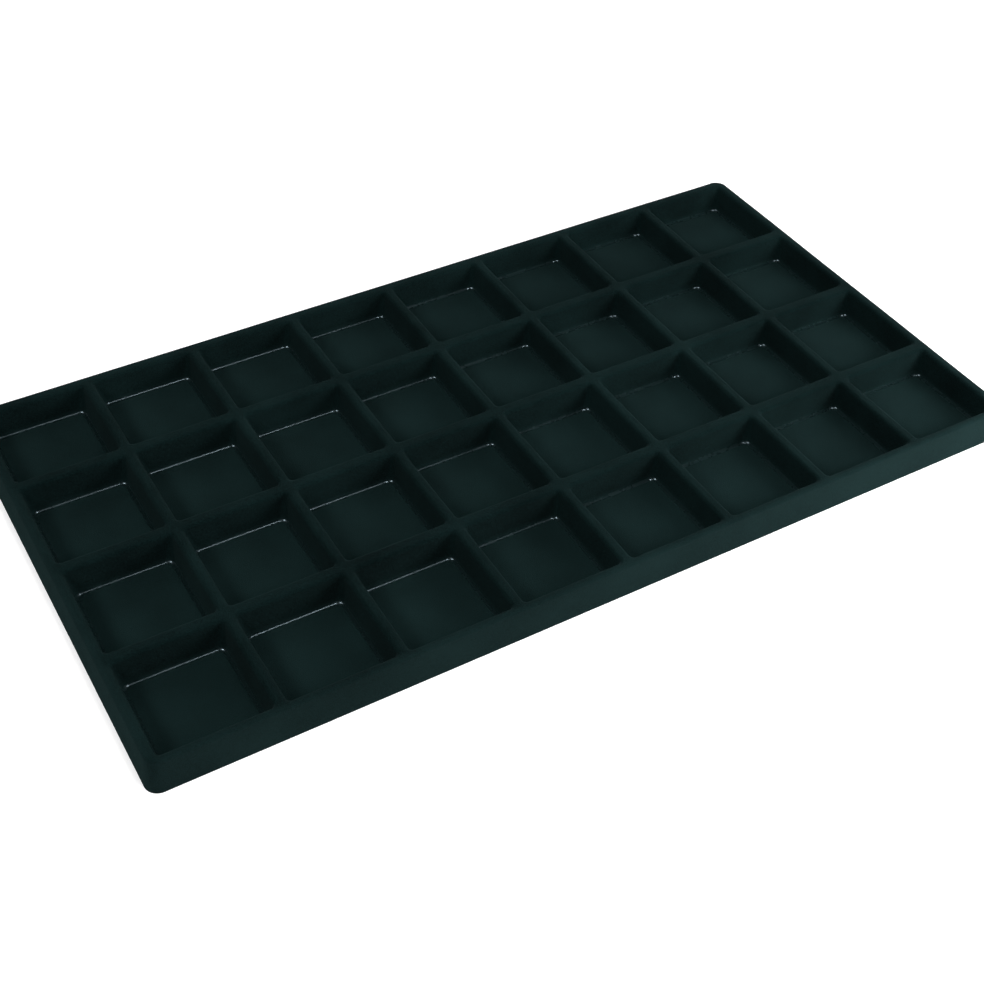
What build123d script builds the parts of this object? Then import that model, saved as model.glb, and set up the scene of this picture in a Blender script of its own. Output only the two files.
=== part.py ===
"""Flocked jewelry tray insert: a thermoformed sheet with rows of pockets and a coat of pile on it.

Millimetres, +Z up, +X along the tray and -Y to its front.
The origin is on the resting plane, under the middle of the tray.
"""

import math
import os

from build123d import *

# Overall size, over the pile
length = 358.8
width = 193.7
height = 12.7

# Pocket grid: what stands between the pockets, measured over the top
columns = 8
rows = 4
side_rim_width = 3.8
front_rim_width = 3.0
back_rim_width = 4.6
column_rib_width = 4.1
row_rib_width = 5.0

# Forming: every wall leans by the draft, so that the sheet lets go of its mould
draft_angle = 8.0
outer_corner_radius = 5.0
rim_edge_bevel = 0.7
pocket_corner_radius = 1.6
rib_edge_bevel = 0.8

# Layers
sheet_thickness = 0.8
pile_thickness = 0.6

# Walls that follow from the draft
draft_slope = math.tan(math.radians(draft_angle))
layer_widening_share = 1 / math.cos(math.radians(draft_angle))
skirt_lean = height * draft_slope
pocket_depth = height - pile_thickness - sheet_thickness

# A flat that touches the middle of a square corner's arc cuts this share of its radius from both walls
bevel_share = 2 - math.sqrt(2)

# Pockets that fill what the rims and ribs leave
mouth_length = (length - 2 * (skirt_lean + side_rim_width) - (columns - 1) * column_rib_width) / columns
mouth_width = (
    width - 2 * skirt_lean - front_rim_width - back_rim_width - (rows - 1) * row_rib_width
) / rows
column_pitch = mouth_length + column_rib_width
row_pitch = mouth_width + row_rib_width
grid_y = (front_rim_width - back_rim_width) / 2


def leaning_edges(form):
    """The edges where two drafted walls meet, which climb from the bottom to the top."""
    return form.edges().filter_by(lambda edge: edge.tangent_at(0.5).Z ** 2 > 0.5)


def pocket_plug(skin, rounded):
    """What fills a pocket of the layer that lies skin below the pile's surface, stood on its mouth."""
    mouth_growth = skin * (layer_widening_share - draft_slope)
    corner = pocket_corner_radius + skin
    with BuildPart() as plug:
        with BuildSketch():
            Rectangle(mouth_length + 2 * mouth_growth, mouth_width + 2 * mouth_growth)
        extrude(amount=pocket_depth, taper=draft_angle)
        if rounded:
            fillet(leaning_edges(plug), radius=corner)
        else:
            chamfer(leaning_edges(plug), length=corner * bevel_share)
    return plug.part


def pocketed_block(skin, rounded):
    """The solid under the layer that lies skin below the pile's surface: a block less its pockets."""
    inset = skin * layer_widening_share
    plug = pocket_plug(skin, rounded)
    with BuildPart() as block:
        with BuildSketch():
            Rectangle(length - 2 * inset, width - 2 * inset)
        extrude(amount=height - skin, taper=draft_angle)
        fillet(leaning_edges(block), radius=outer_corner_radius - inset)
        with Locations((0, grid_y, height - skin)):
            with GridLocations(column_pitch, row_pitch, columns, rows):
                add(plug, rotation=(180, 0, 0), mode=Mode.SUBTRACT)
    return block.part


# Thermoformed sheet: hollow under its rim and ribs, it stands on its skirt and its pocket floors
with BuildPart() as formed_sheet:
    add(pocketed_block(pile_thickness, rounded=False))
    add(pocketed_block(pile_thickness + sheet_thickness, rounded=False), mode=Mode.SUBTRACT)
formed_sheet.part.label = "formed_sheet"

# Coat of short upright fibres over the whole upper side, down to the cut edge of the skirt
with BuildPart() as flock_coat:
    add(pocketed_block(0, rounded=True))
    rim_face = flock_coat.faces().filter_by(Axis.Z).sort_by(Axis.Z)[-1]
    chamfer(rim_face.outer_wire().edges(), length=rim_edge_bevel)
    rim_face = flock_coat.faces().filter_by(Axis.Z).sort_by(Axis.Z)[-1]
    chamfer([edge for mouth in rim_face.inner_wires() for edge in mouth.edges()], length=rib_edge_bevel)
    add(pocketed_block(pile_thickness, rounded=False), mode=Mode.SUBTRACT)
flock_coat.part.label = "flock_coat"

os.makedirs("parts", exist_ok=True)
export_step(formed_sheet.part, "parts/formed_sheet.step")
export_step(flock_coat.part, "parts/flock_coat.step")
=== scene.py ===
import math
import bmesh
import bpy
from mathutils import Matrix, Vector, noise


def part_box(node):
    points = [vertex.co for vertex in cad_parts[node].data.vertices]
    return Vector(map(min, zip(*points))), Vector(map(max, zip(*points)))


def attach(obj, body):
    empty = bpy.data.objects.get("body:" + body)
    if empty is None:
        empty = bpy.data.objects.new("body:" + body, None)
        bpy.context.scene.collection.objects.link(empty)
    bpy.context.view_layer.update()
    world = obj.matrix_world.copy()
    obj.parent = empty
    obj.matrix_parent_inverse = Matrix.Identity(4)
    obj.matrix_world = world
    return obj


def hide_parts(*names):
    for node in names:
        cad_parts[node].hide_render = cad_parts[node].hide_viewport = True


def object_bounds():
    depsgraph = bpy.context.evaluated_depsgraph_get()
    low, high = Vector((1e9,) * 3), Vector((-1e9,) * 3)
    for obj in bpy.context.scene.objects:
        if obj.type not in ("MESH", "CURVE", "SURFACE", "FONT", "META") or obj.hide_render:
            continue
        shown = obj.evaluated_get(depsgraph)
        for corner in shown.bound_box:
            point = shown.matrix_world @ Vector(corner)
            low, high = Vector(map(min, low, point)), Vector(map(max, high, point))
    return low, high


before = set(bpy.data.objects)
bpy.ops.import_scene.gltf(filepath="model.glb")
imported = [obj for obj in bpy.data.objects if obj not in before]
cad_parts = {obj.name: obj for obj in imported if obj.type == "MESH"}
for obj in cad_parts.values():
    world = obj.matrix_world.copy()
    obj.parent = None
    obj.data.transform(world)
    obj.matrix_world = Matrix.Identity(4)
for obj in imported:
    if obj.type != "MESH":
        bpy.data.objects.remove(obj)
cadLow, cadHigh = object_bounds()
mm = 0.001

# the camera stands where the photograph was taken from
view = {
    "place": (-235.69 * mm, -387.17 * mm, 392.83 * mm),
    "turn": (46.935, -1.262, -30.133),  # degrees
    "sensor": 36.0,  # this and the lens in millimetres, as a camera takes them
    "lens": 55.79,
    "clip": (10 * mm, 20.0),
}

camera = bpy.data.objects.new("camera", bpy.data.cameras.new("camera"))
camera.data.sensor_width = view["sensor"]
camera.data.lens = view["lens"]
camera.data.clip_start, camera.data.clip_end = view["clip"]
camera.location = view["place"]
camera.rotation_euler = [math.radians(a) for a in view["turn"]]
bpy.context.scene.collection.objects.link(camera)
bpy.context.scene.camera = camera
bpy.context.scene.view_settings.view_transform = "Standard"
print("camera set")


def linear(code):  # sRGB hex to linear
    values = [int(code[i:i + 2], 16) / 255 for i in (0, 2, 4)]
    return [v / 12.92 if v <= 0.04045 else ((v + 0.055) / 1.055) ** 2.4 for v in values] + [1.0]


def addNode(tree, kind, settings=None, links=None):  # one node, its settings and what feeds its sockets
    node = tree.nodes.new(kind)
    for name, value in (settings or {}).items():
        if isinstance(name, int) or name in node.inputs:
            node.inputs[name].default_value = value
        else:
            setattr(node, name, value)
    for name, source in (links or {}).items():
        tree.links.new(source, node.inputs[name])
    return node


def newMaterial(name):
    material = bpy.data.materials.new(name)
    material.use_nodes = True
    material.node_tree.nodes.clear()
    return material, material.node_tree


# nylon flock shot upright into glue: it swallows light that falls along it and shows grey from the side
flock = {
    "shade": "030808",
    "light": "0F1E1E",
    # the greyer, lighter colour that painted light takes the pile to
    "paintedLight": "152424",
    "sheen": 0.06,
    "sheenTint": "8FB0B0",
    "sheenRoughness": 0.55,
    "roughness": 0.95,
    "specular": 0.0,
    "fibre": 0.3 * mm,  # real fibres are 0.02 mm thick, too fine to show, so this is one tuft of them
    "tuft": 2.2 * mm,
    "stroke": 28 * mm,  # patches where the pile leans one way, left by hands
    "speckle": 2.5,  # how much more the fibres show than the strokes
    "shadeToLight": (1.3, 2.2),  # the speckle where the pile is darkest and where it's lightest
    "paintedFloorLight": (2.0 * mm, 3.6 * mm, 0.5),  # painted light low in the pockets: full below the first height, none above the second, and how much
    "paintedEdgeLight": (-5.0 * mm, -1.2 * mm, 0.75),  # painted light near the outside of the rim and skirt: from where it starts to where it is full, and how much
    "grain": (0.45, 1.15),  # how much of the painted light the dark and the light fibres take
    "tuftBump": (0.2, 0.2 * mm),  # strength and height
    "fibreBump": (0.7, 0.2 * mm),
}


def flockMaterial(name):
    material, tree = newMaterial(name)
    place = addNode(tree, "ShaderNodeTexCoord").outputs["Object"]
    fibre, tuft, stroke = (
        addNode(tree, "ShaderNodeTexNoise", {"Scale": 1 / flock[size]}, {"Vector": place})
        for size in ("fibre", "tuft", "stroke")
    )
    speckle = addNode(
        tree, "ShaderNodeMath", {"operation": "MULTIPLY_ADD", 1: flock["speckle"]},
        {0: fibre.outputs["Fac"], 2: stroke.outputs["Fac"]},
    )
    ramp = addNode(
        tree, "ShaderNodeMapRange",
        {"From Min": flock["shadeToLight"][0], "From Max": flock["shadeToLight"][1]},
        {"Value": speckle.outputs[0]},
    )
    upright = addNode(
        tree, "ShaderNodeMix", {"data_type": "RGBA", 6: linear(flock["shade"]), 7: linear(flock["light"])},
        {0: ramp.outputs["Result"]},
    )
    # painted light: the pocket floors and the outside of the rim and skirt are coloured greyer and lighter
    # than the walls and rib tops, for how the light falls on them
    away = addNode(tree, "ShaderNodeVectorMath", {"operation": "ABSOLUTE"}, {0: place})
    past = addNode(
        tree, "ShaderNodeVectorMath", {"operation": "SUBTRACT", 1: (cadHigh.x, cadHigh.y, 0)},
        {0: away.outputs["Vector"]},
    )
    part = addNode(tree, "ShaderNodeSeparateXYZ", {}, {"Vector": past.outputs["Vector"]})
    outside = addNode(
        tree, "ShaderNodeMath", {"operation": "MAXIMUM"}, {0: part.outputs["X"], 1: part.outputs["Y"]},
    )
    # painted light: the pile within a few millimetres of the outside is coloured lighter, for the table's
    # bounce and the sheen on the skirt
    paintedEdgeLight = addNode(
        tree, "ShaderNodeMapRange",
        {"From Min": flock["paintedEdgeLight"][0], "From Max": flock["paintedEdgeLight"][1], "To Max": flock["paintedEdgeLight"][2]},
        {"Value": outside.outputs[0]},
    )
    # painted light: the pile low in the pockets is coloured lighter, for the light the floors catch
    paintedFloorLight = addNode(
        tree, "ShaderNodeMapRange",
        {"From Min": flock["paintedFloorLight"][1], "From Max": flock["paintedFloorLight"][0], "To Max": flock["paintedFloorLight"][2]},
        {"Value": part.outputs["Z"]},
    )
    paintedLightShare = addNode(
        tree, "ShaderNodeMath", {"operation": "MAXIMUM"},
        {0: paintedEdgeLight.outputs["Result"], 1: paintedFloorLight.outputs["Result"]},
    )
    grain = addNode(
        tree, "ShaderNodeMapRange",
        {"To Min": flock["grain"][0], "To Max": flock["grain"][1], "clamp": False},
        {"Value": ramp.outputs["Result"]},
    )
    paintedLight = addNode(
        tree, "ShaderNodeMath", {"operation": "MULTIPLY"}, {0: paintedLightShare.outputs[0], 1: grain.outputs["Result"]},
    )
    colour = addNode(
        tree, "ShaderNodeMix", {"data_type": "RGBA", 7: linear(flock["paintedLight"])},
        {0: paintedLight.outputs[0], 6: upright.outputs[2]},
    )
    soft = addNode(
        tree, "ShaderNodeBump", {"Strength": flock["tuftBump"][0], "Distance": flock["tuftBump"][1]},
        {"Height": tuft.outputs["Fac"]},
    )
    fine = addNode(
        tree, "ShaderNodeBump", {"Strength": flock["fibreBump"][0], "Distance": flock["fibreBump"][1]},
        {"Height": fibre.outputs["Fac"], "Normal": soft.outputs["Normal"]},
    )
    shader = addNode(
        tree, "ShaderNodeBsdfPrincipled",
        {
            "Roughness": flock["roughness"],
            "Specular IOR Level": flock["specular"],
            "Sheen Weight": flock["sheen"],
            "Sheen Roughness": flock["sheenRoughness"],
            "Sheen Tint": linear(flock["sheenTint"]),
        },
        {"Base Color": colour.outputs[2], "Normal": fine.outputs["Normal"]},
    )
    addNode(tree, "ShaderNodeOutputMaterial", {}, {"Surface": shader.outputs["BSDF"]})
    return material


# flocking glue left bare in the creases, where the charged fibres don't reach: it glints along them
glue = {
    "colour": "0D1919",
    "tint": "C4DAE6",
    "roughness": (0.32, 0.23),  # between the beads that it drew into, and on them
    "lined": 0.35,  # specular level along a crease
    "pooled": 0.85,  # and where it ran together in a corner
    "bead": 3.6 * mm,
    "beadEdge": (0.3, 0.7),  # the noise between the beads and on them
    "beadBump": (0.15, 0.12 * mm),  # strength and height
    "climb": 0.6,  # how far up a crease it crept, as a share of the rounding there
}


def glueMaterial(name, specular):
    material, tree = newMaterial(name)
    place = addNode(tree, "ShaderNodeTexCoord").outputs["Object"]
    bead = addNode(tree, "ShaderNodeTexNoise", {"Scale": 1 / glue["bead"]}, {"Vector": place})
    bump = addNode(
        tree, "ShaderNodeBump", {"Strength": glue["beadBump"][0], "Distance": glue["beadBump"][1]},
        {"Height": bead.outputs["Fac"]},
    )
    dull = addNode(
        tree, "ShaderNodeMapRange",
        {
            "From Min": glue["beadEdge"][0], "From Max": glue["beadEdge"][1],
            "To Min": glue["roughness"][0], "To Max": glue["roughness"][1],
        },
        {"Value": bead.outputs["Fac"]},
    )
    shader = addNode(
        tree, "ShaderNodeBsdfPrincipled",
        {
            "Base Color": linear(glue["colour"]),
            "Specular IOR Level": specular,
            "Specular Tint": linear(glue["tint"]),
        },
        {"Roughness": dull.outputs["Result"], "Normal": bump.outputs["Normal"]},
    )
    addNode(tree, "ShaderNodeOutputMaterial", {}, {"Surface": shader.outputs["BSDF"]})
    return material


# vacuum formed polystyrene, drawn dull over the mould: a soft gloss with a faint pebble
styrene = {
    "colour": "15191A",
    "roughness": 0.48,
    "specular": 0.5,
    "pebble": 0.8 * mm,
    "pebbleBump": (0.2, 0.1 * mm),  # strength and height
}


def styreneMaterial(name):
    material, tree = newMaterial(name)
    place = addNode(tree, "ShaderNodeTexCoord").outputs["Object"]
    pebble = addNode(tree, "ShaderNodeTexNoise", {"Scale": 1 / styrene["pebble"]}, {"Vector": place})
    bump = addNode(
        tree, "ShaderNodeBump",
        {"Strength": styrene["pebbleBump"][0], "Distance": styrene["pebbleBump"][1]},
        {"Height": pebble.outputs["Fac"]},
    )
    shader = addNode(
        tree, "ShaderNodeBsdfPrincipled",
        {
            "Base Color": linear(styrene["colour"]),
            "Roughness": styrene["roughness"],
            "Specular IOR Level": styrene["specular"],
        },
        {"Normal": bump.outputs["Normal"]},
    )
    addNode(tree, "ShaderNodeOutputMaterial", {}, {"Surface": shader.outputs["BSDF"]})
    return material


flockPile = flockMaterial("flocked nylon pile")
bareGlue = glueMaterial("bare flocking glue", glue["lined"])
pooledGlue = glueMaterial("pooled flocking glue", glue["pooled"])
formedStyrene = styreneMaterial("vacuum formed polystyrene")
print("materials made")

# the moulding, measured over the pile: the solids' sizes, and the roundings that only show here
tray = {
    "columns": 8,
    "rows": 4,
    "sideRim": 3.8 * mm,
    "frontRim": 3.0 * mm,
    "backRim": 4.6 * mm,
    "columnRib": 4.1 * mm,
    "rowRib": 5.0 * mm,
    "draft": math.radians(8),
    "sheet": 0.8 * mm,
    "outerCorner": 5.0 * mm,
    "pocketCorner": 1.6 * mm,
    "floorCorner": 2.8 * mm,
    "ribCrown": 1.6 * mm,
    "rimCrown": 1.2 * mm,
    "crease": 1.4 * mm,
    "flatMargin": 0.1 * mm,
    "floorRings": (5 * mm, 11 * mm),  # how far in from its crease a floor has its rings
    "wallShares": (0.35, 0.7),  # how far down it a pocket's wall has its rings
    "skirtShares": (0.4, 0.7, 1),  # and the skirt
    "crownSteps": (5, 2),  # in the face that shows and in the hidden one
    "creaseSteps": (4, 2),
    "arcSteps": 6,
    "sideCuts": 5,
    "outerArcSteps": 10,
    "outerSideCuts": 36,
    "weld": 0.01 * mm,
    "bow": 0.25 * mm,
    "bowSpread": (0.6, 0.4),  # what every floor has of it, and what chance adds or takes
    "waviness": 0.12 * mm,
    "wave": 45 * mm,
    "waveStart": (3.1, 7.7, 0),
    "waveSeed": 7,
}
coatLow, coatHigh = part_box("flock_coat")
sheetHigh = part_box("formed_sheet")[1]
length = coatHigh.x - coatLow.x
width = coatHigh.y - coatLow.y
height = coatHigh.z - coatLow.z
pile = coatHigh.z - sheetHigh.z
slope = math.tan(tray["draft"])
spread = 1 / math.cos(tray["draft"])
arcTurn = math.pi / 2 - tray["draft"]
arcReach = math.tan(arcTurn / 2)  # how far past a corner, in radii, its rounding starts
lean = height * slope
mouthX = (
    length - 2 * (lean + tray["sideRim"]) - (tray["columns"] - 1) * tray["columnRib"]
) / tray["columns"]
mouthY = (
    width - 2 * lean - tray["frontRim"] - tray["backRim"] - (tray["rows"] - 1) * tray["rowRib"]
) / tray["rows"]
pitchX = mouthX + tray["columnRib"]
pitchY = mouthY + tray["rowRib"]
gridY = (tray["frontRim"] - tray["backRim"]) / 2
unitCorner = 0.5  # the corner radius of a unit rounded square, whose sides lie 1 from its middle


def roundedStack(bm, rings, cuts, steps):
    # a unit rounded square drawn down a step per ring, so a vertex's height counts the rings above it
    start = bmesh.ops.create_grid(bm, x_segments=1, y_segments=1, size=1)
    bmesh.ops.bevel(
        bm, geom=start["verts"], affect="VERTICES", offset=unitCorner, segments=steps, profile=0.5,
        material=-1,
    )
    sides = [e for e in bm.edges if e.calc_length() > unitCorner]
    bmesh.ops.subdivide_edges(bm, edges=sides, cuts=cuts)
    bm.faces.ensure_lookup_table()
    face = bm.faces[0]
    lids = []
    for _ in range(rings - 1):
        lids.append(face)
        grown = bmesh.ops.extrude_face_region(bm, geom=[face])["geom"]
        face = next(g for g in grown if isinstance(g, bmesh.types.BMFace))
        bmesh.ops.translate(bm, verts=face.verts, vec=(0, 0, -1))
    bmesh.ops.delete(bm, geom=lids, context="FACES_ONLY")
    return face


def ringPoint(unit, box, radius, z):
    # where a vertex of the unit rounded square goes in a ring with this box and corner radius
    point = []
    for axis in (0, 1):
        along = max(-unitCorner, min(unitCorner, unit[axis]))
        low, high = box[axis][0] + radius, box[axis][1] - radius
        straight = along / (2 * unitCorner) * (high - low)
        point.append((low + high) / 2 + straight + (unit[axis] - along) / unitCorner * radius)
    return Vector((point[0], point[1], z))


def roundEdge(radius, steps):
    # (over the wall, down) from where a flat meets a drafted wall, along the rounding between them
    points = []
    for i in range(steps + 1):
        turn = arcTurn * i / steps
        points.append((radius * (math.sin(turn) - arcReach), radius * (1 - math.cos(turn))))
    return points


def pocketRings(skin, fine):
    # (inward from the mouth's edge, z, corner radius, glued or not), from the rib's top to mid floor
    top = height - skin
    floor = pile + tray["sheet"] - skin
    depth = top - floor
    crown = tray["ribCrown"] - skin
    crease = tray["crease"] + skin
    corner = tray["pocketCorner"] + skin
    foot = depth * slope
    footCorner = tray["floorCorner"] + skin
    rings = []
    for inward, down in roundEdge(crown, tray["crownSteps"][0 if fine else 1]):
        rings.append((inward, top - down, corner - min(0, inward), False))
    for share in tray["wallShares"]:
        down = crown + (depth - crown - crease) * share
        rings.append((down * slope, top - down, corner + (footCorner - corner) * share, False))
    for inward, down in reversed(roundEdge(crease, tray["creaseSteps"][0 if fine else 1])):
        glued = down < glue["climb"] * crease
        rings.append((foot - inward, floor + down, footCorner + min(0, inward), glued))
    for reach in tray["floorRings"]:
        rings.append((foot + reach, floor, corner, False))
    return rings


def addPocket(bm, skin, fine, column, row):
    rings = pocketRings(skin, fine)
    x = (column - (tray["columns"] - 1) / 2) * pitchX
    y = gridY + (row - (tray["rows"] - 1) / 2) * pitchY
    grow = skin * (spread - slope)
    halfX, halfY = mouthX / 2 + grow, mouthY / 2 + grow
    margin = tray["ribCrown"] * arcReach + tray["flatMargin"]
    outerRound = tray["pocketCorner"] + margin
    # whether the rim lies beyond this pocket, at the low and the high end along each axis
    ends = (column == 0, column == tray["columns"] - 1), (row == 0, row == tray["rows"] - 1)
    cell = (
        (
            x - (mouthX / 2 + margin if ends[0][0] else pitchX / 2),
            x + (mouthX / 2 + margin if ends[0][1] else pitchX / 2),
        ),
        (
            y - (mouthY / 2 + margin if ends[1][0] else pitchY / 2),
            y + (mouthY / 2 + margin if ends[1][1] else pitchY / 2),
        ),
    )
    part = bmesh.new()
    last = roundedStack(part, len(rings) + 1, tray["sideCuts"], tray["arcSteps"])
    for face in part.faces:  # a band between two rings is glue where both are
        level = int(round(-min(v.co.z for v in face.verts)))
        if face != last and rings[level - 1][3] and rings[level - 2][3]:
            inCorner = all(min(abs(v.co.x), abs(v.co.y)) > 0.98 * unitCorner for v in face.verts)
            face.material_index = 2 if inCorner else 1  # glue pooled in a corner, or bare along a crease
    for vertex in part.verts:
        level = int(round(-vertex.co.z))
        if level == 0:  # the edge of the pocket's share of the rib tops
            atCorner = ends[0][int(vertex.co.x > 0)] and ends[1][int(vertex.co.y > 0)]
            vertex.co = ringPoint(vertex.co, cell, outerRound if atCorner else 0, height - skin)
            continue
        inward, z, radius, _ = rings[level - 1]
        box = ((x - halfX + inward, x + halfX - inward), (y - halfY + inward, y + halfY - inward))
        vertex.co = ringPoint(vertex.co, box, radius, z)
    bmesh.ops.poke(part, faces=[last])
    mesh = bpy.data.meshes.new("pocket")
    part.to_mesh(mesh)
    part.free()
    bm.from_mesh(mesh)
    bpy.data.meshes.remove(mesh)


def addRim(bm, skin, fine):
    # the skirt and the rounded edge of the rim, from the flat top down to the cut edge
    inset = skin * spread
    top = height - skin
    crown = tray["rimCrown"] - skin
    corner = tray["outerCorner"] - inset
    steps = tray["crownSteps"][0 if fine else 1]
    rings = [(outward, top - down) for outward, down in roundEdge(crown, steps)]
    rings += [(top * share * slope, top * (1 - share)) for share in tray["skirtShares"]]
    part = bmesh.new()
    last = roundedStack(part, len(rings), tray["outerSideCuts"], tray["outerArcSteps"])
    halfX, halfY = length / 2 - inset - top * slope, width / 2 - inset - top * slope
    for vertex in part.verts:
        outward, z = rings[int(round(-vertex.co.z))]
        box = ((-halfX - outward, halfX + outward), (-halfY - outward, halfY + outward))
        vertex.co = ringPoint(vertex.co, box, corner + min(0, outward), z)
    bmesh.ops.delete(part, geom=[last], context="FACES_ONLY")
    mesh = bpy.data.meshes.new("rim")
    part.to_mesh(mesh)
    part.free()
    bm.from_mesh(mesh)
    bpy.data.meshes.remove(mesh)


def surface(skin, fine):
    # one face of a layer: every pocket with its share of the rib tops, the rim, and the flat between them
    bm = bmesh.new()
    for row in range(tray["rows"]):
        for column in range(tray["columns"]):
            addPocket(bm, skin, fine, column, row)
    bmesh.ops.remove_doubles(bm, verts=bm.verts, dist=tray["weld"])
    addRim(bm, skin, fine)
    top = height - skin
    edges = [
        e for e in bm.edges if e.is_boundary and all(abs(v.co.z - top) < tray["weld"] for v in e.verts)
    ]
    bmesh.ops.triangle_fill(bm, edges=edges, use_beauty=True, use_dissolve=False, normal=(0, 0, 1))
    bmesh.ops.recalc_face_normals(bm, faces=bm.faces)
    if sum(f.normal.z * f.calc_area() for f in bm.faces) < 0:
        bmesh.ops.reverse_faces(bm, faces=bm.faces)
    return bm


def settle(point):
    # what a thin moulding keeps: a slight waviness, none at the table and most at the top, and bowed floors
    rise = min(1, point.z / height)
    p = point / tray["wave"]
    shift = noise.noise_vector(p + Vector(tray["waveStart"])) * tray["waviness"] * rise
    x, y = point.x / pitchX + tray["columns"] / 2, (point.y - gridY) / pitchY + tray["rows"] / 2
    bulge = 4 * (x % 1) * (1 - x % 1) * 4 * (y % 1) * (1 - y % 1)
    chance = tray["bowSpread"][0] + tray["bowSpread"][1] * noise.noise(p * 2)
    lift = tray["bow"] * bulge * (1 - rise) * chance
    return point + Vector((shift.x, shift.y, max(0, lift) - abs(shift.z) * rise))


def layer(name, skin, thickness, materials):
    bm = surface(skin, True)
    under = surface(skin + thickness, False)
    bmesh.ops.reverse_faces(under, faces=under.faces)
    mesh = bpy.data.meshes.new(name)
    under.to_mesh(mesh)
    under.free()
    bm.from_mesh(mesh)
    foot = [e for e in bm.edges if e.is_boundary]
    bmesh.ops.bridge_loops(bm, edges=foot)
    for vertex in bm.verts:
        vertex.co = settle(vertex.co)
    bmesh.ops.recalc_face_normals(bm, faces=bm.faces)
    for face in bm.faces:
        face.smooth = True
    bm.to_mesh(mesh)
    openEdges = sum(1 for e in bm.edges if not e.is_manifold)
    print(name, len(bm.faces), "faces,", openEdges, "open edges")
    bm.free()
    piece = bpy.data.objects.new(name, mesh)
    for material in materials:
        mesh.materials.append(material)
    bpy.context.scene.collection.objects.link(piece)
    weighted = piece.modifiers.new("weighted normals", "WEIGHTED_NORMAL")
    weighted.keep_sharp = True
    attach(piece, "root")
    return piece


noise.seed_set(tray["waveSeed"])  # it starts from the clock otherwise
coat = layer("flocked_coat", 0, pile, [flockPile, bareGlue, pooledGlue])
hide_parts("flock_coat")
# three slots, because the sheet's creases are numbered as the coat's are
sheet = layer("formed_tray", pile, tray["sheet"], [formedStyrene] * 3)
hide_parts("formed_sheet")
print("tray made")

# a white table, bright to the camera and plain to the lamps, with the tray's shadow kept
studio = {
    "tableHalf": 3.0,
    "tableGap": 0.15 * mm,
    "tableColour": "F2F2F2",
    "tableGlow": (0.35, 1.0),  # what its white gains for the eye, near the tray and far off
    "glowReach": (0.3, 1.0),  # and how many metres from the tray's middle these are
    "sky": 0.14,
    "backdrop": (0.02, 0.14),  # where what glosses sees it end, as a share of straight up
}
# place and aim in metres, size in metres, power in watts; the cards stand for light off a room's walls
lamps = {
    "right soft box": {"place": (0.185, -0.375, 1.16), "aim": (0, 0, 0), "size": 0.2, "power": 6.2},
    "left soft box": {"place": (-0.9, -0.2, 0.9), "aim": (0, 0, 0), "size": 0.3, "power": 8.5},
    "back card": {"place": (0.2, 1.0, 0.8), "aim": (0, 0, 0), "size": 0.6, "power": 3.6},
    "fill card": {"place": (0.34, -0.32, 0.2), "aim": (0.16, -0.05, 0), "size": 0.2, "power": 2.6},
}


def tableMaterial(name):
    material, tree = newMaterial(name)
    rays = addNode(tree, "ShaderNodeLightPath")
    direct = addNode(
        tree, "ShaderNodeMath", {"operation": "MAXIMUM"},
        {0: rays.outputs["Is Camera Ray"], 1: rays.outputs["Is Transmission Ray"]},
    )
    seen = addNode(
        tree, "ShaderNodeMath", {"operation": "MAXIMUM"},
        {0: direct.outputs[0], 1: rays.outputs["Is Glossy Ray"]},
    )
    matt = addNode(tree, "ShaderNodeBsdfDiffuse", {"Color": linear(studio["tableColour"])})
    place = addNode(tree, "ShaderNodeTexCoord")
    reach = addNode(tree, "ShaderNodeVectorMath", {"operation": "LENGTH"}, {0: place.outputs["Object"]})
    level = addNode(
        tree, "ShaderNodeMapRange",
        {
            "From Min": studio["glowReach"][0], "From Max": studio["glowReach"][1],
            "To Min": studio["tableGlow"][0], "To Max": studio["tableGlow"][1],
        },
        {"Value": reach.outputs["Value"]},
    )
    glow = addNode(
        tree, "ShaderNodeEmission", {"Color": (1, 1, 1, 1)}, {"Strength": level.outputs["Result"]},
    )
    both = addNode(
        tree, "ShaderNodeAddShader", {}, {0: matt.outputs["BSDF"], 1: glow.outputs["Emission"]},
    )
    mixed = addNode(
        tree, "ShaderNodeMixShader", {},
        {0: seen.outputs[0], 1: matt.outputs["BSDF"], 2: both.outputs["Shader"]},
    )
    addNode(tree, "ShaderNodeOutputMaterial", {}, {"Surface": mixed.outputs["Shader"]})
    return material


tableMesh = bmesh.new()
bmesh.ops.create_grid(tableMesh, x_segments=1, y_segments=1, size=studio["tableHalf"])
bmesh.ops.translate(tableMesh, verts=tableMesh.verts, vec=(0, 0, cadLow.z - studio["tableGap"]))
table = bpy.data.objects.new("table", bpy.data.meshes.new("table"))
tableMesh.to_mesh(table.data)
tableMesh.free()
table.data.materials.append(tableMaterial("white card"))
bpy.context.scene.collection.objects.link(table)

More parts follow.
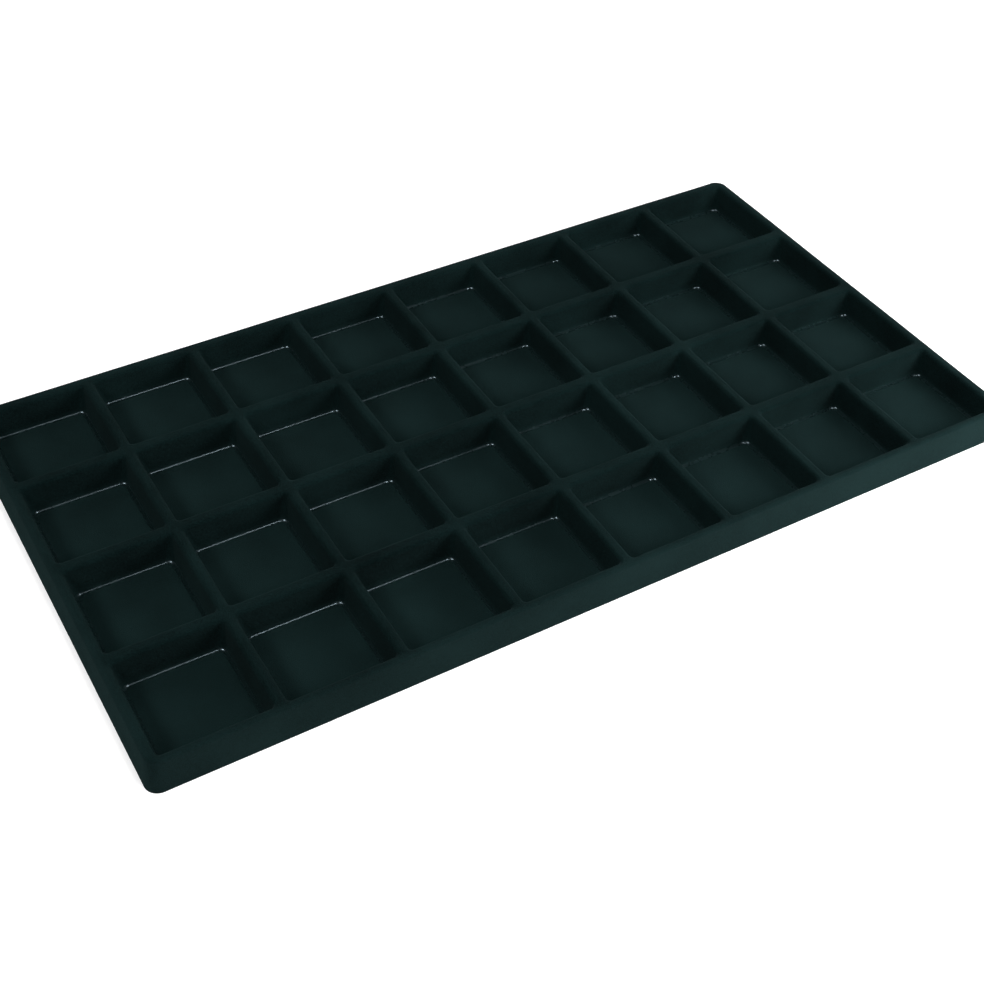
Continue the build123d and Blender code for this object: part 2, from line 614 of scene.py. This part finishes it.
world = bpy.data.worlds.new("studio")
world.use_nodes = True
world.node_tree.nodes.clear()
rays = addNode(world.node_tree, "ShaderNodeLightPath")
# what glosses sees the white backdrop round the table, and the dark room over it
way = addNode(world.node_tree, "ShaderNodeTexCoord")
steep = addNode(world.node_tree, "ShaderNodeSeparateXYZ", {}, {"Vector": way.outputs["Generated"]})
backdrop = addNode(
    world.node_tree, "ShaderNodeMapRange",
    {
        "From Min": studio["backdrop"][0], "From Max": studio["backdrop"][1], "To Min": 1.0, "To Max": 0.0,
    },
    {"Value": steep.outputs["Z"]},
)
mirrored = addNode(
    world.node_tree, "ShaderNodeMath", {"operation": "MULTIPLY"},
    {0: rays.outputs["Is Glossy Ray"], 1: backdrop.outputs["Result"]},
)
direct = addNode(
    world.node_tree, "ShaderNodeMath", {"operation": "MAXIMUM"},
    {0: rays.outputs["Is Camera Ray"], 1: rays.outputs["Is Transmission Ray"]},
)
seen = addNode(
    world.node_tree, "ShaderNodeMath", {"operation": "MAXIMUM"},
    {0: direct.outputs[0], 1: mirrored.outputs[0]},
)
lit = addNode(
    world.node_tree, "ShaderNodeMapRange", {"To Min": studio["sky"], "To Max": 0.0},
    {"Value": rays.outputs["Is Glossy Ray"]},
)
level = addNode(
    world.node_tree, "ShaderNodeMath", {"operation": "MAXIMUM"},
    {0: seen.outputs[0], 1: lit.outputs["Result"]},
)
sky = addNode(
    world.node_tree, "ShaderNodeBackground", {"Color": (1, 1, 1, 1)}, {"Strength": level.outputs[0]},
)
addNode(world.node_tree, "ShaderNodeOutputWorld", {}, {"Surface": sky.outputs["Background"]})
bpy.context.scene.world = world

for name, lamp in lamps.items():
    light = bpy.data.objects.new(name, bpy.data.lights.new(name, "AREA"))
    light.data.shape = "SQUARE"
    light.data.size = lamp["size"]
    light.data.energy = lamp["power"]
    light.visible_glossy = "card" not in name  # a wall's light has no edge that glue could mirror
    light.location = lamp["place"]
    back = Vector(lamp["place"]) - Vector(lamp["aim"])
    light.rotation_euler = back.to_track_quat("Z", "Y").to_euler()
    bpy.context.scene.collection.objects.link(light)
print("studio set")
